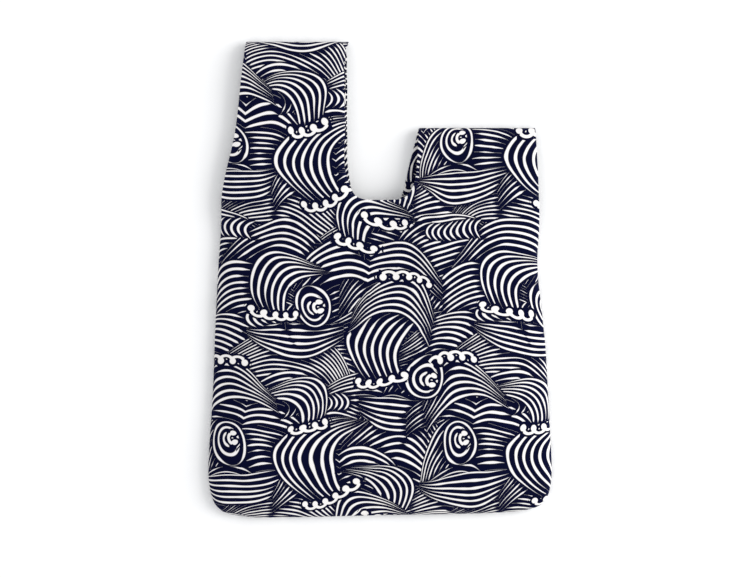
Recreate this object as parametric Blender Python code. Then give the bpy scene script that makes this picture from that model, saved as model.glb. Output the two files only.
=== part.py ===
"""A knot handbag of lined printed cotton, empty and laid flat on its back panel.

Metres, +Z up. +Y points from the bottom seam to the top of the long handle, +X from the long handle to
the short one. The origin lies on the ground under the middle of the bag.
"""

import math

import bmesh
import bpy
from mathutils import Vector

# Widths, taken across the bag
LONG_HANDLE_BASE = 0.0895
LONG_HANDLE_TOP = 0.0724
NECK_WIDTH = 0.0456
SHORT_HANDLE_BASE = 0.0863
SHORT_HANDLE_TOP = 0.0815
BOTTOM_WIDTH = 0.2440

# Lengths, taken from the bottom seam upward or from the neckline upward
BODY_LENGTH = 0.2220
LONG_HANDLE_LENGTH = 0.1107
SHORT_HANDLE_LENGTH = 0.0505
SIDE_SEAM_LENGTH = 0.2050

# Rounds of the outline, a corner of the bottom as its width and its height
NECK_CORNER = 0.0140
LEFT_CORNER = (0.0220, 0.0315)
RIGHT_CORNER = (0.0190, 0.0280)

# The cloth, and heights above the ground of the seams, of the rims beside them and of the crowns
CLOTH = 0.0010
LAYER_GAP = 0.0003
SEAM_HEIGHT = 0.0034
RIM_HEIGHT = 0.0082
BODY_CROWN = 0.0140
HANDLE_CROWN = 0.0122

# How far from a sewn edge the front and the back curve, and how far from it the front reaches its crown
FRONT_RIM_REACH = 0.0064
BACK_RIM_REACH = 0.0042
CROWN_REACH = 0.0450

# How the front droops toward an open edge
OPEN_EDGE_DROOP = 0.0016
OPEN_EDGE_REACH = 0.0120

# How far the back looks out beside the front, at the inner edge of each handle
LONG_HANDLE_PEEK = 0.0036
SHORT_HANDLE_PEEK = 0.0068

# Dyed and printed cotton, as linear colours
OUTER_COLOUR = (0.105, 0.105, 0.165, 1.0)
LINING_COLOUR = (0.070, 0.070, 0.125, 1.0)
CLOTH_ROUGHNESS = 0.85

# Edges of a handle from the neckline up. Height is a share of the handle's length, taper of the width
# that it loses and peek of how far the back looks out.
LONG_HANDLE_SECTIONS = (
    # height, taper, peek
    (0.00, 0.00, 0.30),
    (0.12, 0.08, 0.80),
    (0.26, 0.34, 1.00),
    (0.45, 0.60, 0.75),
    (0.75, 0.80, 1.00),
    (0.96, 0.97, 0.70),
    (1.00, 1.00, 0.00),
)
SHORT_HANDLE_SECTIONS = (
    # height, taper, peek
    (0.00, 0.00, 0.40),
    (0.20, 0.15, 1.00),
    (0.40, 0.30, 0.84),
    (0.62, 0.55, 0.52),
    (0.82, 0.80, 0.25),
    (1.00, 1.00, 0.00),
)

# Dents in the body's sides. Height and reach are shares of its length, depth of its bottom width.
LEFT_DENTS = (
    # height, reach, depth
    (0.93, 0.060, 0.004),
    (0.40, 0.120, 0.003),
)
RIGHT_DENTS = (
    # height, reach, depth
    (0.79, 0.070, 0.015),
    (0.66, 0.060, 0.007),
)

# The bottom seam. Across is a share of the bottom width from the left, lift of the body's length.
BOTTOM_LINE = (
    # across, lift
    (0.00, 0.004),
    (0.16, 0.000),
    (0.50, 0.008),
    (0.82, 0.015),
    (1.00, 0.026),
)

# Soft folds and dents of the front. Across is a share of the bottom width from the middle, up and width
# are shares of the body's length and rise is one of its crown.
FRONT_FOLDS = (
    # start across, start up, end across, end up, width, rise
    (-0.10, 1.00, -0.30, 0.72, 0.050, 0.10),
    (0.09, 0.98, 0.24, 0.74, 0.045, 0.10),
    (-0.42, 0.92, -0.20, 0.80, 0.040, -0.12),
    (0.44, 0.79, 0.26, 0.74, 0.035, -0.14),
    (-0.30, 0.30, 0.12, 0.22, 0.080, -0.08),
    (0.05, 0.55, 0.36, 0.48, 0.070, 0.06),
    (-0.36, 1.22, -0.16, 1.14, 0.040, -0.08),
    (0.14, 1.10, 0.42, 1.06, 0.035, -0.06),
    (0.28, 0.10, 0.40, 0.16, 0.050, 0.08),
)

# Lines of the grid close to an edge, as shares of the reach of what curves there
SEWN_EDGE_LINES = (0.0, 0.09, 0.36, 0.95, 2.1)
OPEN_EDGE_LINES = (0.0, 0.40, 1.0)

# Even steps of the grid between them
HANDLE_COLUMNS = 4
NECK_CORNER_COLUMNS = 2
NECK_FLOOR_COLUMNS = 2
BODY_ROWS = 13
LONG_HANDLE_ROWS = 6
SHORT_HANDLE_ROWS = 3
MERGE_DISTANCE = 0.000001

# Places that follow from the sizes
BOTTOM_Y = -(BODY_LENGTH + LONG_HANDLE_LENGTH) / 2
NECK_Y = BOTTOM_Y + BODY_LENGTH
SHOULDER_WIDTH = LONG_HANDLE_BASE + NECK_WIDTH + SHORT_HANDLE_BASE
NECK_LEFT_X = LONG_HANDLE_BASE - SHOULDER_WIDTH / 2
NECK_RIGHT_X = NECK_LEFT_X + NECK_WIDTH

# A handle meets the body half way round the neckline's corner
EIGHTH_TURN = math.radians(45)
QUARTER_TURN = math.radians(90)
HANDLE_BASE_Y = NECK_Y + NECK_CORNER * (1 - math.sin(EIGHTH_TURN))


def between(start, end, share):
    return start + (end - start) * share


def smooth_step(share):
    share = min(max(share, 0.0), 1.0)
    return share * share * (3 - 2 * share)


def slope_at(rows, index, column):
    """How steeply a table's column changes at one of its rows, from the rows on both sides."""
    before, after = rows[max(index - 1, 0)], rows[min(index + 1, len(rows) - 1)]
    return (after[column] - before[column]) / (after[0] - before[0])


def read_table(rows, place, column):
    """A column's value at a place, on a smooth curve through the rows of a table."""
    place = min(max(place, rows[0][0]), rows[-1][0])
    above = next(index for index, row in enumerate(rows) if index and row[0] >= place)
    start, end = rows[above - 1], rows[above]
    length = end[0] - start[0]
    share = (place - start[0]) / length
    bend = slope_at(rows, above - 1, column) * (1 - share) - slope_at(rows, above, column) * share
    return between(start[column], end[column], smooth_step(share)) + bend * share * (1 - share) * length


def quarter_round(share):
    """Rises from 0 to 1 like a quarter of an ellipse, steepest at the start."""
    share = min(share, 1.0)
    return math.sqrt(1 - (1 - share) ** 2)


def soft_rise(share):
    """Rises from 0 to 1 and levels out there."""
    return 1 - (1 - min(share, 1.0)) ** 2


def spread(start, end, steps, start_lines=(0.0,), start_reach=0.0, end_lines=(0.0,), end_reach=0.0):
    """Places from start to end, with close lines at both ends and even steps between them."""
    way = 1 if end > start else -1
    first = [start + way * start_reach * line for line in start_lines]
    last = [end - way * end_reach * line for line in reversed(end_lines)]
    return first + [between(first[-1], last[0], step / steps) for step in range(1, steps)] + last


def side_x(y, dents, way):
    """A side of the body, whose bottom corner is still square. Way is -1 at the left and 1 at the right."""
    height = min((y - BOTTOM_Y) / BODY_LENGTH, 1.0)
    outward = between(BOTTOM_WIDTH, SHOULDER_WIDTH, height) / 2
    for dent_height, reach, depth in dents:
        outward -= BOTTOM_WIDTH * depth * math.exp(-(((height - dent_height) / reach) ** 2))
    return way * outward


def neck_corner_run(rise):
    """How far the neckline's corner has come away from the handle, this much above the neckline."""
    below = min(max(NECK_CORNER - rise, 0.0), NECK_CORNER)
    return NECK_CORNER - math.sqrt(NECK_CORNER**2 - below**2)


def long_handle_edges(y, layer):
    """The outer and the inner edge of the long handle."""
    height = (y - NECK_Y) / LONG_HANDLE_LENGTH
    taper = (LONG_HANDLE_BASE - LONG_HANDLE_TOP) * read_table(LONG_HANDLE_SECTIONS, height, 1)
    peek = LONG_HANDLE_PEEK * read_table(LONG_HANDLE_SECTIONS, height, 2) if layer == "front" else 0.0
    outer = side_x(min(y, NECK_Y), LEFT_DENTS, -1) + (taper if y > NECK_Y else 0.0)
    return outer, NECK_LEFT_X + neck_corner_run(y - NECK_Y) - peek


def short_handle_edges(y, layer):
    """The inner and the outer edge of the short handle, which tapers by as much at each."""
    height = (y - NECK_Y) / SHORT_HANDLE_LENGTH
    taper = (SHORT_HANDLE_BASE - SHORT_HANDLE_TOP) / 2 * read_table(SHORT_HANDLE_SECTIONS, height, 1)
    peek = SHORT_HANDLE_PEEK * read_table(SHORT_HANDLE_SECTIONS, height, 2) if layer == "back" else 0.0
    outer = side_x(min(y, NECK_Y), RIGHT_DENTS, 1) - (taper if y > NECK_Y else 0.0)
    return NECK_RIGHT_X + taper - neck_corner_run(y - NECK_Y) - peek, outer


def neckline(layer):
    """The middle of the neckline, from half way round its left corner to half way round its right."""
    left = long_handle_edges(HANDLE_BASE_Y, layer)[1]
    right = short_handle_edges(HANDLE_BASE_Y, layer)[0]
    corner = []
    for step in range(NECK_CORNER_COLUMNS + 1):
        turn = between(EIGHTH_TURN, QUARTER_TURN, step / NECK_CORNER_COLUMNS)
        run, rise = math.cos(EIGHTH_TURN) - math.cos(turn), 1 - math.sin(turn)
        corner.append((NECK_CORNER * run, NECK_CORNER * rise))
    floor_left, floor_right = left + corner[-1][0], right - corner[-1][0]
    floor_steps = range(1, NECK_FLOOR_COLUMNS)
    floor = [between(floor_left, floor_right, step / NECK_FLOOR_COLUMNS) for step in floor_steps]
    return (
        [(left + run, NECK_Y + rise) for run, rise in corner]
        + [(x, NECK_Y) for x in floor]
        + [(right - run, NECK_Y + rise) for run, rise in reversed(corner)]
    )


def long_handle_columns(y, layer, inner=None):
    outer, own_inner = long_handle_edges(y, layer)
    inner = own_inner if inner is None else inner
    return spread(
        outer, inner, HANDLE_COLUMNS, SEWN_EDGE_LINES, FRONT_RIM_REACH, OPEN_EDGE_LINES, OPEN_EDGE_REACH
    )


def short_handle_columns(y, layer, inner=None):
    own_inner, outer = short_handle_edges(y, layer)
    inner = own_inner if inner is None else inner
    return spread(
        inner, outer, HANDLE_COLUMNS, OPEN_EDGE_LINES, OPEN_EDGE_REACH, SEWN_EDGE_LINES, FRONT_RIM_REACH
    )


def round_corner(point, way, dents, corner):
    """Moves a point of the square body so that its bottom corner is rounded and its grid follows."""
    width, height = corner
    centre_x = side_x(BOTTOM_Y, dents, way) - way * width
    centre_y = BOTTOM_Y + height
    local = Vector(((point.x - centre_x) * way / width, (centre_y - point.y) / height))
    if min(local) <= 0:
        return point
    local *= max(local) / local.length
    return Vector((centre_x + way * width * local.x, centre_y - height * local.y))


def body_rows(layer):
    """Rows of points of the body, from the bottom seam up to the handles and the neckline."""
    neck = neckline(layer)
    length = HANDLE_BASE_Y - BOTTOM_Y
    heights = spread(
        0.0, length, BODY_ROWS, SEWN_EDGE_LINES, FRONT_RIM_REACH, OPEN_EDGE_LINES, OPEN_EDGE_REACH
    )
    rows = []
    for height in heights:
        y = BOTTOM_Y + height
        row = [Vector((x, y)) for x in long_handle_columns(y, layer, neck[0][0])]
        row += [Vector((x, between(BOTTOM_Y, top, height / length))) for x, top in neck[1:-1]]
        row += [Vector((x, y)) for x in short_handle_columns(y, layer, neck[-1][0])]
        for index, point in enumerate(row):
            across = point.x / BOTTOM_WIDTH + 0.5
            point = round_corner(point, -1, LEFT_DENTS, LEFT_CORNER)
            point = round_corner(point, 1, RIGHT_DENTS, RIGHT_CORNER)
            point.y += BODY_LENGTH * read_table(BOTTOM_LINE, across, 1) * (1 - height / length) ** 3
            row[index] = point
        rows.append(row)
    return rows


def handle_rows(columns, handle_length, steps, layer):
    """Rows of points of a handle, from its base up to the seam across its top."""
    heights = spread(
        HANDLE_BASE_Y, NECK_Y + handle_length, steps, end_lines=SEWN_EDGE_LINES, end_reach=FRONT_RIM_REACH
    )
    return [[Vector((x, y)) for x in columns(y, layer)] for y in heights]


def cut_at_height(line, height):
    """The part of a rising line that lies below a height."""
    kept = [line[0]]
    for start, end in zip(line, line[1:]):
        if end.y > height:
            return kept + [start.lerp(end, (height - start.y) / (end.y - start.y))]
        kept.append(end)
    return kept


def panel_outline(layer):
    """The patches of a flat panel as rows of points, its sewn lines and its open lines."""
    body = body_rows(layer)
    long_handle = handle_rows(long_handle_columns, LONG_HANDLE_LENGTH, LONG_HANDLE_ROWS, layer)
    short_handle = handle_rows(short_handle_columns, SHORT_HANDLE_LENGTH, SHORT_HANDLE_ROWS, layer)
    left = [row[0] for row in body + long_handle[1:]]
    right = [row[-1] for row in body + short_handle[1:]]
    seam_end = BOTTOM_Y + SIDE_SEAM_LENGTH
    side_seams = [cut_at_height(left, seam_end), cut_at_height(right, seam_end)]
    sewn = side_seams + [body[0], long_handle[-1], short_handle[-1]]
    neck = [Vector(place) for place in neckline(layer)]
    inner_edges = [[row[-1] for row in long_handle], [row[0] for row in short_handle]]
    outer_edges = [[point for point in side if point.y >= seam_end] for side in (left, right)]
    return (body, long_handle, short_handle), sewn, [neck] + inner_edges + outer_edges


def distance(point, lines):
    """The distance from a point to the nearest of the lines."""
    nearest = math.inf
    for line in lines:
        for start, end in zip(line, line[1:]):
            way = end - start
            share = (point - start).dot(way) / max(way.length_squared, MERGE_DISTANCE**2)
            nearest = min(nearest, (point - start - way * min(max(share, 0.0), 1.0)).length)
    return nearest


def fold_height(point):
    """What the soft folds and dents add to the front at a point."""
    height = 0.0
    for start_across, start_up, end_across, end_up, width, rise in FRONT_FOLDS:
        start = Vector((start_across * BOTTOM_WIDTH, BOTTOM_Y + start_up * BODY_LENGTH))
        end = Vector((end_across * BOTTOM_WIDTH, BOTTOM_Y + end_up * BODY_LENGTH))
        away = distance(point, [(start, end)]) / (width * BODY_LENGTH)
        height += rise * BODY_CROWN * math.exp(-(away**2))
    return height


def front_height(point, sewn, open_lines):
    """Height of the front's outer side, which is a low pillow between its seams."""
    from_seam = distance(point, sewn)
    from_edge = distance(point, open_lines)
    above_neck = (point.y - NECK_Y) / LONG_HANDLE_LENGTH
    crown = between(BODY_CROWN, HANDLE_CROWN, smooth_step(0.5 + above_neck))
    pillow = crown - RIM_HEIGHT + fold_height(point)
    droop = OPEN_EDGE_DROOP * (1 - soft_rise(from_edge / OPEN_EDGE_REACH))
    return (
        SEAM_HEIGHT
        + LAYER_GAP / 2
        + (RIM_HEIGHT - SEAM_HEIGHT) * quarter_round(from_seam / FRONT_RIM_REACH)
        + (pillow - droop) * soft_rise(from_seam / CROWN_REACH)
    )


def back_height(point, sewn, open_lines):
    """Height of the back's outer side, which lies on the ground and turns up at its seams."""
    turned_up = 1 - quarter_round(distance(point, sewn) / BACK_RIM_REACH)
    return (SEAM_HEIGHT - LAYER_GAP / 2) * turned_up


def add_patch(mesh, rows):
    """Adds a grid whose points take the places in the rows."""
    columns = len(rows[0])
    grid = bmesh.ops.create_grid(mesh, x_segments=columns - 1, y_segments=len(rows) - 1, size=0.5)
    for vertex in grid["verts"]:
        column = round((vertex.co.x + 0.5) * (columns - 1))
        row = round((vertex.co.y + 0.5) * (len(rows) - 1))
        vertex.co = rows[row][column].to_3d()


def seam_direction(vertex):
    """The level direction that points out of the panel at a vertex of its edge."""
    outward = Vector()
    for edge in vertex.link_edges:
        if edge.is_boundary:
            along = edge.verts[1].co - edge.verts[0].co
            away = Vector((along.y, -along.x, 0.0)).normalized()
            inside = edge.link_faces[0].calc_center_median() - edge.verts[0].co
            outward += away if away.dot(inside) < 0 else -away
    return outward.normalized()


def panel_sheet(layer, height):
    """The outer side of a panel with no thickness, and the way out of the cloth at each vertex."""
    patches, sewn, open_lines = panel_outline(layer)
    mesh = bmesh.new()
    outward = mesh.verts.layers.float_vector.new("outward")
    for rows in patches:
        add_patch(mesh, rows)
    bmesh.ops.remove_doubles(mesh, verts=mesh.verts, dist=MERGE_DISTANCE)
    for vertex in mesh.verts:
        if distance(vertex.co.xy, sewn) < MERGE_DISTANCE:
            vertex[outward] = seam_direction(vertex)
    for vertex in mesh.verts:
        vertex.co.z = height(vertex.co.xy, sewn, open_lines)
    bmesh.ops.triangulate(mesh, faces=mesh.faces)
    if layer == "back":
        bmesh.ops.reverse_faces(mesh, faces=mesh.faces)
    mesh.normal_update()
    for vertex in mesh.verts:
        if vertex[outward].length == 0:
            vertex[outward] = vertex.normal
    return mesh, outward


def cloth_panel(name, layer, height, depth, material, collection):
    """A wall of cloth whose outer side lies this deep under the panel's outer side."""
    mesh, outward = panel_sheet(layer, height)
    for vertex in mesh.verts:
        vertex.co -= vertex[outward] * depth
    inner = bmesh.ops.extrude_face_region(mesh, geom=mesh.faces[:], use_keep_orig=True)
    inner_vertices = [item for item in inner["geom"] if isinstance(item, bmesh.types.BMVert)]
    for vertex in inner_vertices:
        vertex.co -= vertex[outward] * CLOTH
    bmesh.ops.recalc_face_normals(mesh, faces=mesh.faces)
    bmesh.ops.triangulate(mesh, faces=mesh.faces)
    data = bpy.data.meshes.new(name)
    mesh.to_mesh(data)
    mesh.free()
    data.materials.append(material)
    data.shade_smooth()
    data.set_sharp_from_angle(angle=EIGHTH_TURN)
    panel = bpy.data.objects.new(name, data)
    collection.objects.link(panel)
    return panel


def cloth_material(name, colour):
    material = bpy.data.materials.new(name)
    material.use_nodes = True
    shader = material.node_tree.nodes["Principled BSDF"]
    shader.inputs["Base Color"].default_value = colour
    shader.inputs["Roughness"].default_value = CLOTH_ROUGHNESS
    shader.inputs["Metallic"].default_value = 0.0
    material.diffuse_color = colour
    return material


def build():
    for leftover in list(bpy.data.objects):
        bpy.data.objects.remove(leftover, do_unlink=True)
    collection = bpy.data.collections.new("knot_handbag")
    bpy.context.scene.collection.children.link(collection)
    outer_cotton = cloth_material("outer printed cotton", OUTER_COLOUR)
    lining_cotton = cloth_material("lining printed cotton", LINING_COLOUR)
    lining_depth = CLOTH + LAYER_GAP
    cloth_panel("outer_front", "front", front_height, 0.0, outer_cotton, collection)
    cloth_panel("lining_front", "front", front_height, lining_depth, lining_cotton, collection)
    cloth_panel("lining_back", "back", back_height, lining_depth, lining_cotton, collection)
    cloth_panel("outer_back", "back", back_height, 0.0, outer_cotton, collection)


build()
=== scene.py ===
"""The looks of a knot handbag: its wave-printed cotton, soft folds, seams and pale stage.

Run it as a script. Lengths are in metres, and those of the print in millimetres.
"""

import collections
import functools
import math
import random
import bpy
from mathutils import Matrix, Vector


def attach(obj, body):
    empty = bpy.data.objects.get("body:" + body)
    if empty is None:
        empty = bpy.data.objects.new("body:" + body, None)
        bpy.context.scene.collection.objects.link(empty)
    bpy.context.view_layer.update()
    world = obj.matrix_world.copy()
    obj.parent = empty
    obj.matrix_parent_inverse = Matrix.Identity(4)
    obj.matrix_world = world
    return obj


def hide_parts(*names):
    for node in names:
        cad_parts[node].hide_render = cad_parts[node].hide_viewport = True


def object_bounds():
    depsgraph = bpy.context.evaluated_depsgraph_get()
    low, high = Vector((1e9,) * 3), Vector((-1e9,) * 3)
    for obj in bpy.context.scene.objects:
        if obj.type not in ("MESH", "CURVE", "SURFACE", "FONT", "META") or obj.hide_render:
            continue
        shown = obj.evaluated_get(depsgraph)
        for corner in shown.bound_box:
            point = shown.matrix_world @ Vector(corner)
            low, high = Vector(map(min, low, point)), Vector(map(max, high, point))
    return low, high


bl_info = {
    "name": "Knot Handbag",
    "version": (1, 0, 0),
    "blender": (4, 5, 0),
    "location": "3D Viewport > Sidebar > Handbag",
    "description": "Dresses a lined knot handbag in wave-printed cotton",
    "category": "Mesh",
}

import bmesh
import bpy
from mathutils import Matrix, Vector, kdtree, noise

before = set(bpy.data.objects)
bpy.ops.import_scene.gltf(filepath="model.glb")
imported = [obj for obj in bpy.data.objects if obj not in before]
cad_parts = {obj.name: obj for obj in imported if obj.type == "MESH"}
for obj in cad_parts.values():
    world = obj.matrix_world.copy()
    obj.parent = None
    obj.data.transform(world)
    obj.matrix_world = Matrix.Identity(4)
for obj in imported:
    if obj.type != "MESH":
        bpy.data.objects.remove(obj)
CAD_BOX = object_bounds()

MILLIMETRE = 0.001
BODY = "root"
CLOTH_MAP = "cloth"
EDGE_WEAR = "edge_wear"

# Front pieces sink from this height to their seams, and back pieces rise from the ground to them
FRONT_RIM_HEIGHT = 0.0082
GROUND = 0.0
RIM_STRETCH = 0.5

# Sewn stretches of an outline lie between these heights, open ones lie above or below
SEAM_HEIGHTS = (0.0024, 0.0047)
SHARP_EDGE = math.radians(50)

# Two triangles join to a quad that is bent or skewed no more than this
QUAD_BEND = math.radians(60)
QUAD_SKEW = math.radians(50)
WELD = 0.000001
SAMPLE_STEP = 0.001

# The photo, in its own pixels: where the middle of the bag's box lies, and what a pixel measures
PHOTO_SIZE = (750, 578)
BAG_MIDDLE_PIXEL = (380.0, 279.75)
PIXEL = 0.000696


def linear(hex_colour):
    """An sRGB colour such as #14143c as linear red, green, blue and alpha."""
    channels = [int(hex_colour[place : place + 2], 16) / 255 for place in (1, 3, 5)]
    return [
        channel / 12.92 if channel <= 0.04045 else ((channel + 0.055) / 1.055) ** 2.4
        for channel in channels
    ] + [1.0]


class HandbagCloth(bpy.types.PropertyGroup):
    """Sizes of the cloth's own relief."""

    detail: bpy.props.IntProperty(
        name="Detail", description="Times that the cloth is subdivided", default=3, min=1, max=4
    )
    crease_length: bpy.props.FloatProperty(
        name="Crease Length", description="Distance between soft creases", default=0.034, unit="LENGTH"
    )
    crease_height: bpy.props.FloatProperty(
        name="Crease Height", description="Height of the soft creases", default=0.0009, unit="LENGTH"
    )
    pucker_length: bpy.props.FloatProperty(
        name="Pucker Length", description="Distance between puckers of a seam", default=0.0085, unit="LENGTH"
    )
    pucker_height: bpy.props.FloatProperty(
        name="Pucker Height", description="Height of the puckers at a seam", default=0.00035, unit="LENGTH"
    )
    pucker_reach: bpy.props.FloatProperty(
        name="Pucker Reach", description="How far from a seam its puckers fade", default=0.009, unit="LENGTH"
    )


class HandbagPrint(bpy.types.PropertyGroup):
    """Colours and scale of the cotton's wave print."""

    ground: bpy.props.FloatVectorProperty(
        name="Ground",
        description="Dyed navy ground",
        subtype="COLOR",
        size=4,
        default=linear("#080b2a"),
    )
    worn_ground: bpy.props.FloatVectorProperty(
        name="Worn Ground",
        description="Navy where it has faded",
        subtype="COLOR",
        size=4,
        default=linear("#161a3c"),
    )
    # The dark navy end, also used as the painted shade where the weave dips
    deep_ground: bpy.props.FloatVectorProperty(
        name="Deep Ground",
        description="Navy where it took most dye",
        subtype="COLOR",
        size=4,
        default=linear("#06081f"),
    )
    line: bpy.props.FloatVectorProperty(
        name="Line",
        description="Undyed cotton of the lines",
        subtype="COLOR",
        size=4,
        default=linear("#efece9"),
    )
    line_spacing: bpy.props.FloatProperty(
        name="Line Spacing", description="Distance between two lines, in millimetres", default=4.3
    )
    line_share: bpy.props.FloatProperty(
        name="Line Share",
        description="Share of the spacing that a line takes",
        default=0.335,
        subtype="FACTOR",
    )
    thread_spacing: bpy.props.FloatProperty(
        name="Thread Spacing", description="Distance between two threads, in millimetres", default=0.8
    )


class HandbagStage(bpy.types.PropertyGroup):
    """The pale ground, the light and the camera."""

    paper: bpy.props.FloatVectorProperty(
        name="Paper",
        description="Colour of the ground",
        subtype="COLOR",
        size=4,
        default=linear("#f7f7f6"),
    )
    focal_length: bpy.props.FloatProperty(
        name="Focal Length", description="Of a lens on a 36 mm sensor, in millimetres", default=85.0
    )
    key_power: bpy.props.FloatProperty(
        name="Key Power", description="Power of the soft light from the right", default=52.0, unit="POWER"
    )
    sky_strength: bpy.props.FloatProperty(
        name="Sky Strength", description="Strength of the even light all round", default=0.90
    )


# Fine cloth


def join_clean(mesh):
    """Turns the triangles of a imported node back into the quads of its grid."""
    bmesh.ops.remove_doubles(mesh, verts=mesh.verts, dist=WELD)
    bmesh.ops.join_triangles(
        mesh, faces=mesh.faces, angle_face_threshold=QUAD_BEND, angle_shape_threshold=QUAD_SKEW
    )


def outline_samples(mesh):
    """Points along the sharp edges of a node: those on sewn stretches, and those on open ones."""
    sewn, free = [], []
    for edge in mesh.edges:
        if len(edge.link_faces) != 2 or edge.calc_face_angle(0.0) < SHARP_EDGE:
            continue
        start, end = (vertex.co for vertex in edge.verts)
        steps = max(int((end - start).length / SAMPLE_STEP), 1)
        for step in range(steps + 1):
            point = start.lerp(end, step / steps)
            is_sewn = SEAM_HEIGHTS[0] < point.z < SEAM_HEIGHTS[1]
            (sewn if is_sewn else free).append(point)
    return sewn, free


def level_tree(points):
    """A tree that finds the nearest of these points, seen from above."""
    tree = kdtree.KDTree(len(points))
    for index, point in enumerate(points):
        tree.insert((point.x, point.y, 0.0), index)
    tree.balance()
    return tree


def subdivided(mesh, name, levels):
    """The mesh after smooth subdivision, applied."""
    data = bpy.data.meshes.new(name)
    mesh.to_mesh(data)
    cage = bpy.data.objects.new(name + "_cage", data)
    bpy.context.scene.collection.objects.link(cage)
    smooth = cage.modifiers.new("fine cloth", "SUBSURF")
    smooth.levels = levels
    smooth.render_levels = levels
    bpy.context.view_layer.update()
    fine = bpy.data.meshes.new_from_object(cage.evaluated_get(bpy.context.evaluated_depsgraph_get()))
    bpy.data.objects.remove(cage, do_unlink=True)
    fine.name = name
    return fine


# Soft creases that a hand or a fold has left, in metres from the middle of the bag.
# Bend moves the middle of a crease sideways, rise is its height in millimetres.
CREASES = (
    # start x, start y, end x, end y, bend, width, rise
    (-0.022, 0.058, -0.070, 0.012, 0.006, 0.0060, 0.9),
    (-0.018, 0.052, -0.040, -0.005, 0.004, 0.0070, 0.6),
    (0.024, 0.054, 0.070, 0.020, -0.005, 0.0060, 0.9),
    (0.020, 0.050, 0.036, -0.004, -0.004, 0.0070, 0.5),
    (0.112, 0.012, 0.060, 0.004, 0.004, 0.0050, -0.9),
    (0.113, -0.018, 0.070, -0.030, -0.003, 0.0060, 0.7),
    (-0.108, 0.040, -0.052, 0.030, 0.005, 0.0060, -0.8),
    (-0.100, 0.110, -0.060, 0.098, 0.004, 0.0060, 0.7),
    (-0.036, 0.130, -0.070, 0.118, -0.003, 0.0050, -0.6),
    (0.098, 0.080, 0.052, 0.074, 0.003, 0.0050, 0.6),
    (-0.104, -0.070, -0.030, -0.092, 0.010, 0.0080, 0.8),
    (-0.020, -0.060, 0.066, -0.082, -0.008, 0.0090, -0.7),
    (0.110, -0.120, 0.050, -0.104, 0.006, 0.0070, 0.8),
    (-0.096, -0.142, -0.052, -0.122, 0.004, 0.0060, 0.7),
    (0.004, -0.150, 0.020, -0.110, 0.003, 0.0060, 0.6),
    (-0.060, -0.020, 0.010, -0.030, 0.007, 0.0090, 0.6),
)


# Settling: the front is cut a little too large for its seams, so it buckles softly between them
SETTLE_STEPS = 24
SETTLE_SLACK = 0.004
SETTLE_SHARE = 0.75
SETTLE_LIMIT = 0.0024
SETTLE_FACING = 0.15
SEAM_HOLD = 0.003
NEIGHBOURS = 3

# Light cotton, in the cloth modifier's own settings
SETTLING_COTTON = {
    "quality": 6,
    "mass": 0.2,
    "shrink_min": -SETTLE_SLACK,
    "tension_stiffness": 20,
    "compression_stiffness": 20,
    "shear_stiffness": 8,
    "bending_stiffness": 0.6,
}


def top_sheet(node):
    """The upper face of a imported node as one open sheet, and a tree of its sewn edges."""
    mesh = bmesh.new()
    mesh.from_mesh(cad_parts[node].data)
    join_clean(mesh)
    seams = level_tree(outline_samples(mesh)[0])
    under = [face for face in mesh.faces if face.normal.z < SETTLE_FACING]
    bmesh.ops.delete(mesh, geom=under, context="FACES")
    bmesh.ops.subdivide_edges(mesh, edges=mesh.edges, cuts=1, use_grid_fill=True)
    data = bpy.data.meshes.new("settling cloth")
    mesh.to_mesh(data)
    mesh.free()
    return data, seams


@functools.cache
def settled_front():
    """Simulates the outer front as cloth held at its seams: a tree of its places, and their rises."""
    data, seams = top_sheet("outer_front")
    start = [vertex.co.copy() for vertex in data.vertices]
    tree = level_tree(start)
    sheet = bpy.data.objects.new("settling cloth", data)
    bpy.context.scene.collection.objects.link(sheet)
    held = sheet.vertex_groups.new(name="sewn")
    sewn = [index for index, place in enumerate(start) if seams.find((place.x, place.y, 0.0))[2] < SEAM_HOLD]
    held.add(sewn, 1.0, "REPLACE")
    settling = sheet.modifiers.new("settling", "CLOTH")
    cotton = settling.settings
    cotton.vertex_group_mass = held.name
    for setting, value in SETTLING_COTTON.items():
        setattr(cotton, setting, value)
    cotton.effector_weights.gravity = 0
    settling.collision_settings.use_collision = False
    settling.point_cache.frame_end = SETTLE_STEPS
    for step in range(1, SETTLE_STEPS + 1):
        bpy.context.scene.frame_set(step)
    settled = sheet.evaluated_get(bpy.context.evaluated_depsgraph_get()).data
    rises = [vertex.co.z - place.z for vertex, place in zip(settled.vertices, start)]
    bpy.data.objects.remove(sheet, do_unlink=True)
    bpy.context.scene.frame_set(1)
    return tree, [SETTLE_LIMIT * math.tanh(SETTLE_SHARE * rise / SETTLE_LIMIT) for rise in rises]


def settle(mesh):
    """Moves the coarse mesh of a front piece as the settled cloth has moved there."""
    tree, rises = settled_front()
    for vertex in mesh.verts:
        near = tree.find_n((vertex.co.x, vertex.co.y, 0.0), NEIGHBOURS)
        weights = [1 / (gap + WELD) for _, _, gap in near]
        rise = sum(weight * rises[index] for weight, (_, index, _) in zip(weights, near)) / sum(weights)
        vertex.co.z += rise


# How far a crease runs on past its ends, and the share of its length over which it fades
CREASE_REACH = 0.25
CREASE_FADE = 0.42

# Unevenness: fine ridges, bent and in patches, on gentle swells. Each has its count in a crease length.
RIDGE_SHARPNESS = 4
BEND_COUNT = 0.6
BEND = 0.7
PATCH_COUNT = 0.45
PATCH_START = Vector((7.3, 2.1, 0.0))
SWELL_COUNT = 0.8
SWELL_SHARE = 0.45
SWELL_START = Vector((1.7, 9.2, 0.0))

# Puckers: waves along a seam, each with its count in a pucker length and its share of their height
PUCKER_WAVES = ((1.3, 1.0), (2.9, 0.5))
PUCKER_GAIN = 1.6

# Edges wear pale over about this width
EDGE_WEAR_REACH = 0.0012


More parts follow.
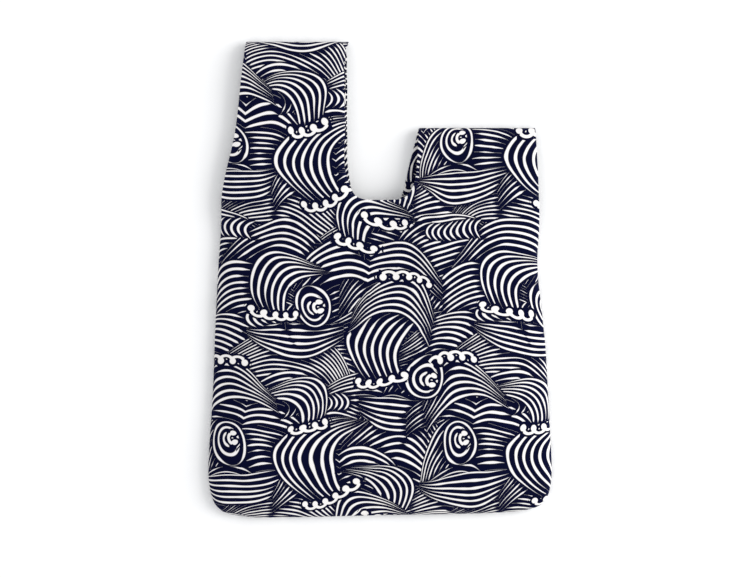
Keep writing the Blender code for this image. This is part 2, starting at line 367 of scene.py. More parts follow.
def crease_share(x, y, start_x, start_y, end_x, end_y, bend, width):
    """How much of a crease's height is felt at a place."""
    way = Vector((end_x - start_x, end_y - start_y))
    along = ((x - start_x) * way.x + (y - start_y) * way.y) / way.length_squared
    side = ((x - start_x) * way.y - (y - start_y) * way.x) / way.length
    if not -CREASE_REACH < along < 1 + CREASE_REACH:
        return 0.0
    side -= bend * math.sin(math.pi * min(max(along, 0.0), 1.0))
    fade = math.exp(-(((along - 0.5) / CREASE_FADE) ** 4))
    return fade * math.exp(-((side / width) ** 2))


def soft_relief(x, y, cloth):
    """Height of the creases and of the gentle unevenness at a place of the bag."""
    height = 0.0
    for start_x, start_y, end_x, end_y, bend, width, rise in CREASES:
        height += rise * MILLIMETRE * crease_share(x, y, start_x, start_y, end_x, end_y, bend, width)
    place = Vector((x, y, 0.0)) / cloth.crease_length
    bent = place + noise.noise_vector(place * BEND_COUNT) * BEND
    ridge = (1 - abs(noise.noise(bent))) ** RIDGE_SHARPNESS
    patch = min(max(0.5 + noise.noise(place * PATCH_COUNT + PATCH_START), 0.0), 1.0)
    height += cloth.crease_height * ridge * patch
    height += cloth.crease_height * SWELL_SHARE * noise.noise(place * SWELL_COUNT + SWELL_START)
    return height


def front_relief(place, seam_point, from_seam, cloth):
    """Height of a place of the front over its smooth form: creases, and puckers close to a seam."""
    near_seam = math.exp(-((from_seam / cloth.pucker_reach) ** 2))
    pucker = sum(
        share * noise.noise(seam_point / cloth.pucker_length * count) for count, share in PUCKER_WAVES
    )
    creases = soft_relief(place.x, place.y, cloth) * (1 - near_seam)
    return creases + cloth.pucker_height * PUCKER_GAIN * pucker * near_seam


def shape_cloth(data, outline, layer, cloth):
    """Moves a front's fine cloth into its creases, and notes on any cloth how near its edges are."""
    sewn_tree, free_tree = (level_tree(points) for points in outline)
    wear = data.attributes.new(EDGE_WEAR, "FLOAT", "POINT")
    for index, vertex in enumerate(data.vertices):
        flat_place = (vertex.co.x, vertex.co.y, 0.0)
        seam_point, _, from_seam = sewn_tree.find(flat_place)
        from_edge = min(from_seam, free_tree.find(flat_place)[2])
        wear.data[index].value = math.exp(-from_edge / EDGE_WEAR_REACH)
        if layer == "front":
            vertex.co.z += front_relief(vertex.co, seam_point, from_seam, cloth)


def unroll(data, layer):
    """Gives the cloth a UV map in metres: the place seen from above, with the curl at the seams unrolled."""
    uv = data.uv_layers.new(name=CLOTH_MAP)
    normals = [vertex.normal.copy() for vertex in data.vertices]
    for loop in data.loops:
        place = data.vertices[loop.vertex_index].co
        normal = normals[loop.vertex_index]
        drop = FRONT_RIM_HEIGHT - place.z if layer == "front" else place.z - GROUND
        uv.data[loop.index].uv = place.xy + normal.xy * drop * RIM_STRETCH


def cloth_piece(node, name, layer, levels, material):
    """A fine sheet of cloth that stands for a node of the frame."""
    cloth = bpy.context.scene.handbag_cloth
    mesh = bmesh.new()
    mesh.from_mesh(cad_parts[node].data)
    join_clean(mesh)
    outline = outline_samples(mesh)
    if layer == "front":
        settle(mesh)
    data = subdivided(mesh, name, levels)
    mesh.free()
    shape_cloth(data, outline, layer, cloth)
    data.update()
    unroll(data, layer)
    data.materials.clear()
    data.materials.append(material)
    data.shade_smooth()
    piece = bpy.data.objects.new(name, data)
    bpy.context.scene.collection.objects.link(piece)
    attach(piece, BODY)
    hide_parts(node)
    return piece


# The print, in millimetres of flat cloth. It repeats after each tile, its hills twice as often.
TILE = Vector((160.0, 209.0, 0.0))
HILL_TILE = Vector((160.0, 104.5, 0.0))
HILL_ROWS = 3
HILL_COLUMNS = 3
HILL_SEED = 11

Wave = collections.namedtuple(
    "Wave", "x y turn crest pace lines half close fan sag fold ring foam gaps"
)

# Waves that lie over the hills, back to front. Each is a bundle of lines that bulge the way that turn
# faces, over a chord with its middle at x and y. The outermost line bulges as far as crest, and half is
# half the chord. Pace is the spacing of the lines, as a share of the usual one. Towards both ends the
# lines close up by close and fall back by sag, and by fan they lie wider at the left end. Fold makes two
# bulges with a cusp between, and a ring has lines all round its middle. Foam lies at an end, on the crest
# or in the middle, with gaps between its knobs.
WAVES = [
    Wave(*row)
    for row in (
        # x, y, turn, crest, pace, lines, half, close, fan, sag, fold, ring, foam, gaps
        # Hollows
        (59, 128, 272, 16, 1.00, 5.5, 34, 0.60, 0.15, 6, 0, False, None, 0),
        (137, 74, 266, 16, 1.00, 5.5, 32, 0.60, -0.15, 6, 0, False, None, 0),
        (17, 23, 274, 15, 1.00, 5.5, 32, 0.60, 0.15, 6, 0, False, None, 0),
        (105, 181, 268, 15, 1.00, 5.5, 30, 0.60, -0.15, 6, 0, False, None, 0),
        # Twin hills with a cusp
        (110, 162, 90, 34, 1.15, 6, 34, 0.35, 0, 16, 17, False, None, 0),
        (24, 62, 84, 34, 1.15, 6, 32, 0.35, 0, 16, 15, False, None, 0),
        (90, 18, 94, 34, 1.15, 6, 32, 0.35, 0, 16, 16, False, None, 0),
        # Chains of small crescents
        (24, 140, 186, 0, 1.05, 11, 6.5, 0, 0, 5, 0, False, None, 0),
        (100, 84, 8, 0, 1.05, 11, 6.5, 0, 0, 5, 0, False, None, 0),
        (146, 204, 172, 0, 1.05, 9, 6.5, 0, 0, 5, 0, False, None, 0),
        # Breaking waves
        (54, 165, 140, 27, 1.20, 6, 26, 0.35, 0.30, 20, 0, False, "left", 4),
        (124, 126, 155, 30, 1.35, 7, 30, 0.35, 0.30, 24, 0, False, "left", 5),
        (61, 82, 45, 22, 1.10, 6, 22, 0.30, -0.25, 18, 0, False, "right", 3),
        (13, 88, 105, 26, 1.05, 7, 29, 0.45, 0.15, 20, 0, False, "crest", 4),
        (76, 44, 170, 32, 1.40, 7, 31, 0.35, 0.25, 26, 0, False, "left", 5),
        (120, 22, 30, 22, 1.10, 6, 23, 0.30, -0.25, 20, 0, False, "right", 3),
        (129, 146, 75, 26, 1.05, 7, 29, 0.45, -0.15, 20, 0, False, "crest", 4),
        (110, 1, 130, 22, 1.10, 6, 23, 0.30, 0.25, 18, 0, False, "left", 3),
        # Whirls
        (73, 149, 14, 13, 0.90, 4, 17, 0, 0.15, 0, 0, True, "middle", 1),
        (148, 96, -14, 13, 0.90, 4, 17, 0, 0.15, 0, 0, True, "middle", 1),
        (14, 54, 12, 13, 0.90, 4, 17, 0, -0.15, 0, 0, True, "middle", 1),
    )
]

# Foam is a row of arches with a round knob where two of them meet, bent to these radii. At an end of a
# wave it lies at this share of half the chord, and leans that much towards the way of the lines. It
# reaches so far across and past its ends, with bare ground as wide as its halo.
FOAM_RADII = {"left": 45.0, "right": 45.0, "crest": 60.0, "middle": 16.0}
FOAM_END_PLACE = 1.02
FOAM_LEAN = 0.35
FOAM_REACH = 10.0
FOAM_END = 6.0
FOAM_HALO = 2.0
FOAM_SOFTNESS = 0.08
KNOB_SPACING = 8.8
KNOB_PLACE = (-0.6, 4.1)
KNOB_RADIUS = 2.3
LAST_KNOB = 3.5
ARCH_DEPTH = 3.3
ARCH_SQUASH = 1.5
ARCH_HALF_WIDTH = 1.35


def shown(node):
    """A node's output that is in use."""
    return next(output for output in node.outputs if output.enabled)


def fill(tree, node, inputs):
    """Gives a node its inputs, each a value, a node or one of a node's outputs, and returns it."""
    for key, value in dict(inputs).items():
        if isinstance(value, bpy.types.Node):
            tree.links.new(shown(value), node.inputs[key])
        elif isinstance(value, bpy.types.NodeSocket):
            tree.links.new(value, node.inputs[key])
        else:
            node.inputs[key].default_value = value
    return node


def add(tree, kind, *inputs, **settings):
    """A node of a kind such as TexNoise or Math.ADD. Its inputs come in order, or by name in one dict."""
    kind, _, operation = kind.partition(".")
    node = tree.nodes.new("ShaderNode" + kind)
    if operation:
        node.operation = operation
    for setting, value in settings.items():
        setattr(node, setting, value)
    by_name = bool(inputs) and isinstance(inputs[0], dict)
    return fill(tree, node, inputs[0] if by_name else enumerate(inputs))


def new_group(name, vectors, numbers, result_kind):
    """A node group with its inputs, and its end node with one result."""
    tree = bpy.data.node_groups.new(name, "ShaderNodeTree")
    for socket in vectors:
        tree.interface.new_socket(name=socket, in_out="INPUT", socket_type="NodeSocketVector")
    for socket in numbers:
        tree.interface.new_socket(name=socket, in_out="INPUT", socket_type="NodeSocketFloat")
    tree.interface.new_socket(name="Result", in_out="OUTPUT", socket_type="NodeSocket" + result_kind)
    return tree, tree.nodes.new("NodeGroupInput").outputs, tree.nodes.new("NodeGroupOutput")


# Too small a share of what lies under to show
TRACE = (1e-9, 1e-9, 1e-9)


def from_middle(tree, given):
    """The way on the cloth from a motif's middle, on the nearest tile, and the same way turned."""
    # The trace of what lies under has the renderer work the motifs out in turn, or it runs out of room
    cloth = add(tree, "VectorMath.MULTIPLY_ADD", given["Under"], TRACE, given["Cloth"])
    away = add(tree, "VectorMath.SUBTRACT", cloth, given["Middle"])
    nearest = add(tree, "VectorMath.WRAP", away, given["High"], given["Low"])
    values = {"Vector": nearest, "Angle": given["Turn"]}
    return nearest, add(tree, "VectorRotate", values, rotation_type="Z_AXIS")


ALONG_X, ALONG_Y, ALONG_Z = Matrix.Identity(3)


def part(tree, place, axis):
    """One coordinate of a place. Separate XYZ would keep room for all three in each of many motifs."""
    return add(tree, "VectorMath.DOT_PRODUCT", place, axis).outputs["Value"]


def distance(tree, x, y):
    """How far a place lies from the origin."""
    return add(tree, "VectorMath.LENGTH", add(tree, "CombineXYZ", {"X": x, "Y": y}))


def largest(tree, *values):
    """The largest of these values."""
    most = values[0]
    for value in values[1:]:
        most = add(tree, "Math.MAXIMUM", most, value)
    return most


FAR = 1000000.0

# How fast the lines of a wave behind come to their ends beside this wave's back and beside its ends
COVER_TAPER = 0.45
END_TAPER = 2.3


def wave_group():
    """Lays one wave over what lies behind it: lines from its crest, facing and rank at a place."""
    tree, given, result = new_group(
        "wave",
        ("Cloth", "Under", "Middle", "High", "Low"),
        (
            "Turn", "Per Half", "Fold", "Ring", "Fan", "Close", "Sag", "Crest", "Per Line",
            "Half Lines", "Level",
        ),
        "Vector",
    )
    away, place = from_middle(tree, given)
    forward = part(tree, place, ALONG_X)
    along = add(tree, "Math.MULTIPLY", part(tree, place, ALONG_Y), given["Per Half"])
    from_top = add(tree, "Math.SUBTRACT", add(tree, "Math.ABSOLUTE", along), given["Fold"])
    endward = add(tree, "Math.MULTIPLY", from_top, from_top)

    # Lines that a place lies behind the crest
    round_middle = distance(tree, forward, add(tree, "Math.MULTIPLY", along, given["Crest"]))
    height = largest(tree, forward, add(tree, "Math.MULTIPLY", round_middle, given["Ring"]))
    straight = add(tree, "Math.MULTIPLY_ADD", endward, given["Sag"], height)
    fanned = add(tree, "Math.MULTIPLY_ADD", along, given["Fan"], 1.0)
    spread = add(tree, "Math.SUBTRACT", fanned, add(tree, "Math.MULTIPLY", endward, given["Close"]))
    behind = add(tree, "Math.SUBTRACT", given["Crest"], add(tree, "Math.DIVIDE", straight, spread))
    depth = add(tree, "Math.MULTIPLY", behind, given["Per Line"])
    from_core = add(tree, "Math.ABSOLUTE", add(tree, "Math.SUBTRACT", depth, given["Half Lines"]))
    outside = add(tree, "Math.SUBTRACT", from_core, given["Half Lines"])

    # Facing: 1 in the middle of the lines, 0 at their ends
    facing = add(tree, "Math.SUBTRACT", 1.0, endward)

    # Rank: of two hills, the one whose middle lies lower is in front
    rank = add(tree, "Math.ADD", part(tree, away, ALONG_Y), given["Level"])

    # What lies behind comes to its ends beside this wave's edge
    gap = largest(
        tree,
        add(tree, "Math.MULTIPLY", outside, COVER_TAPER),
        add(tree, "Math.MULTIPLY", facing, -END_TAPER),
        add(tree, "Math.SUBTRACT", part(tree, given["Under"], ALONG_Z), rank),
    )
    limit = add(tree, "CombineXYZ", {"X": FAR, "Y": gap, "Z": FAR})
    tapered = add(tree, "VectorMath.MINIMUM", given["Under"], limit)
    here = add(tree, "CombineXYZ", {"X": depth, "Y": facing, "Z": rank})
    covers = add(tree, "Math.LESS_THAN", gap, 0.0)
    over = add(tree, "Mix", {0: covers, 4: tapered, 5: here}, data_type="VECTOR")
    fill(tree, result, {"Result": over})
    return tree


def foam_group():
    """Lays one crest of foam over the rest: the way along it, across it and beyond its end at a place."""
    tree, given, result = new_group(
        "foam crest",
        ("Cloth", "Under", "Middle", "High", "Low", "Back"),
        ("Turn", "Radius", "Half"),
        "Vector",
    )
    _, place = from_middle(tree, given)
    centred = add(tree, "VectorMath.ADD", place, given["Back"])
    angle = add(tree, "Math.ARCTAN2", part(tree, centred, ALONG_Y), part(tree, centred, ALONG_X))
    around = add(tree, "Math.MULTIPLY", angle, given["Radius"])
    across = add(tree, "Math.SUBTRACT", given["Radius"], add(tree, "VectorMath.LENGTH", centred))
    beyond = add(tree, "Math.SUBTRACT", add(tree, "Math.ABSOLUTE", around), given["Half"])
    along = add(tree, "Math.ADD", around, given["Half"])
    here = add(tree, "CombineXYZ", {"X": along, "Y": across, "Z": beyond})
    outside = largest(
        tree,
        add(tree, "Math.SUBTRACT", add(tree, "Math.ABSOLUTE", across), FOAM_REACH),
        add(tree, "Math.SUBTRACT", beyond, FOAM_END),
    )
    covers = add(tree, "Math.LESS_THAN", outside, 0.0)
    over = add(tree, "Mix", {0: covers, 4: given["Under"], 5: here}, data_type="VECTOR")
    fill(tree, result, {"Result": over})
    return tree


# What the hills are drawn from: shares of a column and row that they stray, and ranges as for waves
HILL_STRAY = (0.15, 0.2)
HILL_SWAY = 30
HILL_CREST = (38, 46)
HILL_PACE = (0.75, 1.1)
HILL_LINES = 16
HILL_HALF = (42, 54)
HILL_CLOSE = (0.3, 0.6)
HILL_FAN = 0.3
HILL_SAG = (20, 34)


def hills():
    """Rows of low hills that fill the tile behind the waves, from the highest row down."""
    chance = random.Random(HILL_SEED)
    waves = []
    for row in reversed(range(HILL_ROWS)):
        for column in range(HILL_COLUMNS):
            shift = 0.5 * (row % 2)
            across, up = (chance.uniform(-stray, stray) for stray in HILL_STRAY)
            hill = Wave(
                x=(column + shift + across) * HILL_TILE.x / HILL_COLUMNS,
                y=(row + up) * HILL_TILE.y / HILL_ROWS,
                turn=90 + chance.uniform(-HILL_SWAY, HILL_SWAY),
                crest=chance.uniform(*HILL_CREST),
                pace=chance.uniform(*HILL_PACE),
                lines=HILL_LINES,
                half=chance.uniform(*HILL_HALF),
                close=chance.uniform(*HILL_CLOSE),
                fan=chance.uniform(-HILL_FAN, HILL_FAN),
                sag=chance.uniform(*HILL_SAG),
                fold=0,
                ring=False,
                foam=None,
                gaps=0,
            )
            waves.append(hill)
    return waves


# Ranks: hills go by their height on the cloth, and each wave lies a level over the last
BEHIND_ALL = -1000.0
NEXT_LEVEL = 1000.0


def lay_waves(tree, cloth, line_spacing):
    """The frontmost wave at each place: lines from its crest, facing and rank."""
    group = wave_group()
    over = add(tree, "CombineXYZ", {"Z": BEHIND_ALL})
    low_hills = hills()
    for index, wave in enumerate(low_hills + WAVES):
        order = max(index - len(low_hills) + 1, 0)
        half_tile = (TILE if order else HILL_TILE) / 2
        values = {
            "Cloth": cloth,
            "Under": over,
            "Middle": (wave.x, wave.y, 0.0),
            "High": half_tile,
            "Low": -half_tile,
            "Turn": -math.radians(wave.turn),
            "Per Half": 1 / wave.half,
            "Fold": wave.fold / wave.half,
            "Ring": 1.0 if wave.ring else -FAR,
            "Fan": wave.fan,
            "Close": wave.close,
            "Sag": wave.sag,
            "Crest": wave.crest,
            "Per Line": 1 / (wave.pace * line_spacing),
            "Half Lines": wave.lines / 2,
            "Level": NEXT_LEVEL * order,
        }
        over = add(tree, "Group", values, node_tree=group)
    return over


def foam_place(wave, line_spacing):
    """The middle of a wave's foam, and the way from its knobs to its back."""
    angle = math.radians(wave.turn)
    forward = Vector((math.cos(angle), math.sin(angle), 0.0))
    left = Vector((-forward.y, forward.x, 0.0))
    middle = Vector((wave.x, wave.y, 0.0))
    if wave.foam == "middle":
        return middle, -forward
    if wave.foam == "crest":
        return middle + wave.crest * forward, forward - wave.crest * wave.fan / wave.half * left
    side = 1 if wave.foam == "left" else -1
    along = side * FOAM_END_PLACE
    line = wave.crest - wave.lines * wave.pace * line_spacing / 2
    bulge = line * (1 + wave.fan * along - wave.close * along**2) - wave.sag * along**2
    slope = (line * (wave.fan - 2 * wave.close * along) - 2 * wave.sag * along) / wave.half
    return middle + bulge * forward + along * wave.half * left, side * (FOAM_LEAN * slope * forward + left)


def lay_foams(tree, cloth, line_spacing):
    """The nearest crest of foam at each place: the way along it, across it and beyond its end."""
    group = foam_group()
    over = add(tree, "CombineXYZ", {"Y": FAR, "Z": FAR})
    for wave in WAVES:
        if not wave.foam:
            continue
        middle, back = foam_place(wave, line_spacing)
        radius = FOAM_RADII[wave.foam]
        values = {
            "Cloth": cloth,
            "Under": over,
            "Middle": middle,
            "High": TILE / 2,
            "Low": -TILE / 2,
            "Back": (radius, 0.0, 0.0),
            "Turn": -math.atan2(back.y, back.x),
            "Radius": radius,
            "Half": wave.gaps * KNOB_SPACING / 2,
        }
        over = add(tree, "Group", values, node_tree=group)
    return over


# Each line ends a little sooner or later than the next, and all end early. They reach their full width
# where they face so much, start from this share of it, and vary in width as drawn by hand.
RING_SWING = 2.4
RING_SHARE = 0.22
EARLY_END = 0.06
FULL_WIDTH = 0.6
THIN_END = 0.12
LINE_START = 0.04
HAND_COUNT = 0.09
HAND_SWING = 0.12
EDGE_SOFTNESS = 0.03

# The whole print sways by this many millimetres, with this count of sways in a millimetre
SWAY = 16.0
SWAY_COUNT = 0.018


def ink_lines(tree, over, cloth, share):
    """Lines of the waves: 1 on a line, 0 beside it. They thin out to points at their ends."""
    depth = part(tree, over, ALONG_X)
    ring = add(tree, "Math.FLOOR", depth)
    swing = add(tree, "Math.SINE", add(tree, "Math.MULTIPLY", ring, RING_SWING))
    uneven = add(tree, "Math.MULTIPLY_ADD", swing, RING_SHARE, -EARLY_END)
    facing = add(tree, "Math.ADD", uneven, part(tree, over, ALONG_Y))
    ends = add(
        tree,
        "MapRange",
        {"Value": facing, "From Min": 0.0, "From Max": FULL_WIDTH},
        interpolation_type="SMOOTHSTEP",
    )
    crescent = add(tree, "Math.MULTIPLY_ADD", ends, 1 - THIN_END, THIN_END)
    starts = add(tree, "MapRange", {"Value": ends, "From Min": 0.0, "From Max": LINE_START})
    wobble = {"Vector": cloth, "Scale": HAND_COUNT, "Detail": 1.0}
    hand = add(tree, "TexNoise", wobble, noise_dimensions="2D")
    thinnest = (share - HAND_SWING) / 2
    width = add(tree, "Math.MULTIPLY_ADD", hand.outputs["Fac"], HAND_SWING, thinnest)
    half_width = add(tree, "Math.MULTIPLY", add(tree, "Math.MULTIPLY", width, crescent), starts)
    to_middle = add(tree, "Math.PINGPONG", depth, 0.5)
    inside = add(tree, "Math.ADD", to_middle, half_width)
    return add(
        tree,
        "MapRange",
        {"Value": inside, "From Min": 0.5 - EDGE_SOFTNESS, "From Max": 0.5 + EDGE_SOFTNESS},
    )


def ink_foam(tree, over, lines):
    """Foam over the lines: arches in a row, round knobs between them, and bare ground close round."""
    along, across, beyond = (part(tree, over, axis) for axis in (ALONG_X, ALONG_Y, ALONG_Z))
    step = add(tree, "Math.WRAP", along, KNOB_SPACING / 2, -KNOB_SPACING / 2)
    from_arch = add(tree, "Math.SUBTRACT", KNOB_SPACING / 2, add(tree, "Math.ABSOLUTE", step))
    inward = add(tree, "Math.SUBTRACT", across, ARCH_DEPTH)
    from_foot = distance(tree, from_arch, add(tree, "Math.MULTIPLY", inward, ARCH_SQUASH))
    off_arch = add(tree, "Math.ABSOLUTE", add(tree, "Math.SUBTRACT", from_foot, KNOB_SPACING / 2))
    arch_gap = largest(tree, add(tree, "Math.SUBTRACT", off_arch, ARCH_HALF_WIDTH), inward, beyond)
    from_knob = distance(
        tree,
        add(tree, "Math.SUBTRACT", step, KNOB_PLACE[0]),
        add(tree, "Math.SUBTRACT", across, KNOB_PLACE[1]),
    )
    knob_gap = largest(
        tree,
        add(tree, "Math.SUBTRACT", from_knob, KNOB_RADIUS),
        add(tree, "Math.SUBTRACT", beyond, LAST_KNOB),
    )
    gap = add(tree, "Math.MINIMUM", arch_gap, knob_gap)
    white = add(tree, "MapRange", {"Value": gap, "From Min": FOAM_SOFTNESS, "From Max": -FOAM_SOFTNESS})
    bare = add(tree, "Math.LESS_THAN", gap, FOAM_HALO)
    return add(tree, "Mix", {0: bare, 2: lines, 3: white}, data_type="FLOAT")


def wave_print_group(settings):
    """The whole print: 1 on undyed lines and foam, 0 on the dyed ground."""
    tree, given, result = new_group("wave print", ("Cloth",), (), "Float")
    drift = add(tree, "TexNoise", {"Vector": given["Cloth"], "Scale": SWAY_COUNT, "Detail": 1.0})
    centred = add(tree, "VectorMath.SUBTRACT", drift.outputs["Color"], (0.5, 0.5, 0.5))
    swayed = add(tree, "VectorMath.MULTIPLY_ADD", centred, (SWAY, SWAY, 0.0), given["Cloth"])
    waves = lay_waves(tree, swayed, settings.line_spacing)
    lines = ink_lines(tree, waves, swayed, settings.line_share)
    foams = lay_foams(tree, swayed, settings.line_spacing)
    fill(tree, result, {"Result": ink_foam(tree, foams, lines)})
    return tree


# Finish of the cotton. Scales of its patterns are counts in a millimetre.
DYE_COUNT = 0.05
# Share of the weave's painted shade in the navy
WEAVE_SHADE_SHARE = 0.3
EDGE_FADE = 0.6
SLUB_COUNT = 0.9
SLUB_RELIEF = 1.4
DIP_SHADE = 0.03
COTTON_ROUGHNESS = 0.74
SLUB_ROUGHNESS = 0.16
COTTON_GLOSS = 0.02
WEAVE_BUMP = 0.35
WEAVE_DEPTH = 0.00012


def printed_cotton(name, start):
    """Plain-woven cotton, dyed navy round undyed lines: quite matt, with threads that just show."""
    settings = bpy.context.scene.handbag_print
    group = bpy.data.node_groups.get("wave print") or wave_print_group(settings)
    material = bpy.data.materials.new(name)
    material.use_nodes = True
    tree = material.node_tree

    # The map is in metres, the print in millimetres
    uv = add(tree, "UVMap", uv_map=CLOTH_MAP)
    cloth = add(tree, "Mapping", {"Vector": uv, "Location": (*start, 0.0), "Scale": (1 / MILLIMETRE,) * 3})
    ink = add(tree, "Group", {"Cloth": cloth}, node_tree=group)

    # A plain weave: each thread rises over one and dips under the next. Real threads lie less than half
    # a millimetre apart, too fine to show, so they are drawn as coarse as they need to be.
    pace = [math.pi / settings.thread_spacing] * 2 + [0.0]
    threads = add(tree, "VectorMath.SINE", add(tree, "VectorMath.MULTIPLY", cloth, pace))
    crossing = add(tree, "SeparateXYZ", threads).outputs
    weave = add(tree, "Math.MULTIPLY", crossing["X"], crossing["Y"])

    # Dye takes unevenly over a few centimetres, and fades at the edges. From thread to thread the navy
    # carries painted shade: darker where the weave dips, lighter where it rises
    cloud = add(tree, "TexNoise", {"Vector": cloth, "Scale": DYE_COUNT, "Detail": 3.0})
    uneven = add(tree, "Math.MULTIPLY_ADD", weave, WEAVE_SHADE_SHARE, cloud.outputs["Fac"])
    tones = {0: uneven, 6: tuple(settings.deep_ground), 7: tuple(settings.ground)}
    # dye holds the uneven dye together with the weave's painted shade
    dye = add(tree, "Mix", tones, data_type="RGBA")
    wear = add(tree, "Attribute", attribute_name=EDGE_WEAR)
    worn = add(tree, "Math.MULTIPLY", wear.outputs["Fac"], EDGE_FADE)
    ground = add(tree, "Mix", {0: worn, 6: dye, 7: tuple(settings.worn_ground)}, data_type="RGBA")

    # Slubs, the thicker stretches of a thread, stand up a little
    slub = add(tree, "TexNoise", {"Vector": cloth, "Scale": SLUB_COUNT, "Detail": 2.0})
    relief = add(tree, "Math.MULTIPLY_ADD", slub.outputs["Fac"], SLUB_RELIEF, weave)

    # Painted shade: undyed threads are drawn a little darker where they dip under the next
    dip = add(tree, "Math.MULTIPLY_ADD", weave, DIP_SHADE, 1 - DIP_SHADE)
    shade = add(tree, "Math.MULTIPLY", ink, dip)
    colour = add(tree, "Mix", {0: shade, 6: ground, 7: tuple(settings.line)}, data_type="RGBA")
    rough = add(tree, "Math.MULTIPLY_ADD", slub.outputs["Fac"], SLUB_ROUGHNESS, COTTON_ROUGHNESS)
    bump = add(tree, "Bump", {"Strength": WEAVE_BUMP, "Distance": WEAVE_DEPTH, "Height": relief})
    finish = {
        "Base Color": colour,
        "Roughness": rough,
        "Normal": bump,
        "Specular IOR Level": COTTON_GLOSS,
    }
    fill(tree, tree.nodes["Principled BSDF"], finish)
    return material


# Where the middle of the bag lies in the print
OUTER_FRONT_START = (118.3, 165.8)
OUTER_BACK_START = (60.0, 120.0)
LINING_START = (30.0, 76.0)


class HANDBAG_OT_outer(bpy.types.Operator):
    """Makes the printed outer front and back"""

    bl_idname = "handbag.outer"
    bl_label = "Outer Bag"

    def execute(self, context):
        detail = context.scene.handbag_cloth.detail
        cotton = printed_cotton("outer printed cotton", OUTER_FRONT_START)
        back_cotton = printed_cotton("outer printed cotton of the back", OUTER_BACK_START)
        cloth_piece(
            "outer_back", "outer_back_cloth", "back", detail, back_cotton
        )
        cloth_piece(
            "outer_front", "outer_front_cloth", "front", detail, cotton
        )
        return {"FINISHED"}


class HANDBAG_OT_lining(bpy.types.Operator):
    """Makes the lining, whose back looks out beside both handles"""

    bl_idname = "handbag.lining"
    bl_label = "Lining"

    def execute(self, context):
        detail = context.scene.handbag_cloth.detail
        cotton = printed_cotton("lining printed cotton", LINING_START)
        cloth_piece(
            "lining_back", "lining_back_cloth", "back", detail, cotton
        )
        cloth_piece(
            "lining_front", "lining_front_cloth", "front", detail, cotton
        )
        return {"FINISHED"}


# Mottling of the paper, with its count in a metre
MOTTLE_COUNT = 30.0
MOTTLE_DEPTH = 0.015
PAPER_ROUGHNESS = 0.9
PAPER_GLOSS = 0.1


def paper_ground(settings):
    """Matt photo paper, faintly mottled."""
    material = bpy.data.materials.new("photo paper")
    material.use_nodes = True
    tree = material.node_tree
    place = add(tree, "TexCoord").outputs["Object"]
    mottle = add(tree, "TexNoise", {"Vector": place, "Scale": MOTTLE_COUNT, "Detail": 2.0})
    darker = [channel * (1 - MOTTLE_DEPTH) for channel in settings.paper[:3]] + [1.0]
    tones = {0: mottle.outputs["Fac"], 6: darker, 7: tuple(settings.paper)}
    colour = add(tree, "Mix", tones, data_type="RGBA")
    finish = {"Base Color": colour, "Roughness": PAPER_ROUGHNESS, "Specular IOR Level": PAPER_GLOSS}
    fill(tree, tree.nodes["Principled BSDF"], finish)
    return material


FLOOR_SIZE = 60.0
KEY_PLACE = (2.20, 0.26, 1.25)
KEY_SIZE = 1.9
SKY_COLOUR = "#fbfcff"
SENSOR_WIDTH = 36.0

# The floor lies this far under the bag, so that they don't flicker where they meet
FLOOR_GAP = 0.00005


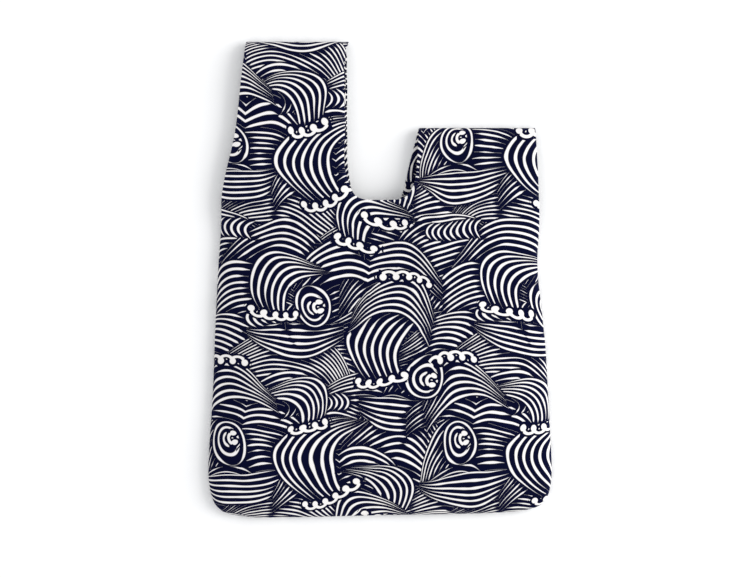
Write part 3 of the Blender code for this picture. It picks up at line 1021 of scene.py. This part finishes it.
class HANDBAG_OT_stage(bpy.types.Operator):
    """Makes the pale ground, the soft light and the camera straight above"""

    bl_idname = "handbag.stage"
    bl_label = "Stage"

    def execute(self, context):
        settings = context.scene.handbag_stage
        mesh = bmesh.new()
        bmesh.ops.create_grid(mesh, x_segments=1, y_segments=1, size=FLOOR_SIZE / 2)
        bmesh.ops.translate(mesh, verts=mesh.verts, vec=(0.0, 0.0, CAD_BOX[0].z - FLOOR_GAP))
        data = bpy.data.meshes.new("floor")
        mesh.to_mesh(data)
        mesh.free()
        data.materials.append(paper_ground(settings))
        floor = bpy.data.objects.new("floor", data)
        context.scene.collection.objects.link(floor)

        key_data = bpy.data.lights.new("key", "AREA")
        key_data.energy = settings.key_power
        key_data.size = KEY_SIZE
        key = bpy.data.objects.new("key", key_data)
        key.location = KEY_PLACE
        key.rotation_euler = (-Vector(KEY_PLACE)).to_track_quat("-Z", "Y").to_euler()
        context.scene.collection.objects.link(key)

        world = bpy.data.worlds.new("pale room")
        world.use_nodes = True
        background = world.node_tree.nodes["Background"]
        background.inputs["Color"].default_value = linear(SKY_COLOUR)
        background.inputs["Strength"].default_value = settings.sky_strength
        context.scene.world = world

        camera_data = bpy.data.cameras.new("camera")
        camera_data.lens = settings.focal_length
        camera_data.sensor_fit = "HORIZONTAL"
        camera_data.sensor_width = SENSOR_WIDTH
        camera = bpy.data.objects.new("camera", camera_data)
        middle = (CAD_BOX[0] + CAD_BOX[1]) / 2
        right = (PHOTO_SIZE[0] / 2 - BAG_MIDDLE_PIXEL[0]) * PIXEL
        up = (BAG_MIDDLE_PIXEL[1] - PHOTO_SIZE[1] / 2) * PIXEL
        above = PHOTO_SIZE[0] * PIXEL * settings.focal_length / SENSOR_WIDTH
        camera.location = (middle.x + right, middle.y + up, middle.z + above)
        context.scene.collection.objects.link(camera)
        context.scene.camera = camera
        context.scene.view_settings.view_transform = "Standard"
        return {"FINISHED"}


class HANDBAG_PT_parts(bpy.types.Panel):
    """Lists the pieces of the handbag and their settings"""

    bl_idname = "HANDBAG_PT_parts"
    bl_label = "Knot Handbag"
    bl_space_type = "VIEW_3D"
    bl_region_type = "UI"
    bl_category = "Handbag"

    def draw(self, context):
        layout = self.layout
        for operator in OPERATORS:
            layout.operator(operator.bl_idname)
        for name, group in SETTINGS:
            box = layout.box()
            for setting in group.__annotations__:
                box.prop(getattr(context.scene, name), setting)


OPERATORS = (HANDBAG_OT_stage, HANDBAG_OT_outer, HANDBAG_OT_lining)
SETTINGS = (
    ("handbag_cloth", HandbagCloth),
    ("handbag_print", HandbagPrint),
    ("handbag_stage", HandbagStage),
)


def register():
    for name, group in SETTINGS:
        bpy.utils.register_class(group)
        setattr(bpy.types.Scene, name, bpy.props.PointerProperty(type=group))
    for operator in OPERATORS:
        bpy.utils.register_class(operator)
    bpy.utils.register_class(HANDBAG_PT_parts)


def unregister():
    bpy.utils.unregister_class(HANDBAG_PT_parts)
    for operator in reversed(OPERATORS):
        bpy.utils.unregister_class(operator)
    for name, group in reversed(SETTINGS):
        delattr(bpy.types.Scene, name)
        bpy.utils.unregister_class(group)


def main():
    register()
    bpy.ops.handbag.stage()
    bpy.ops.handbag.outer()
    bpy.ops.handbag.lining()


if __name__ == "__main__":
    main()
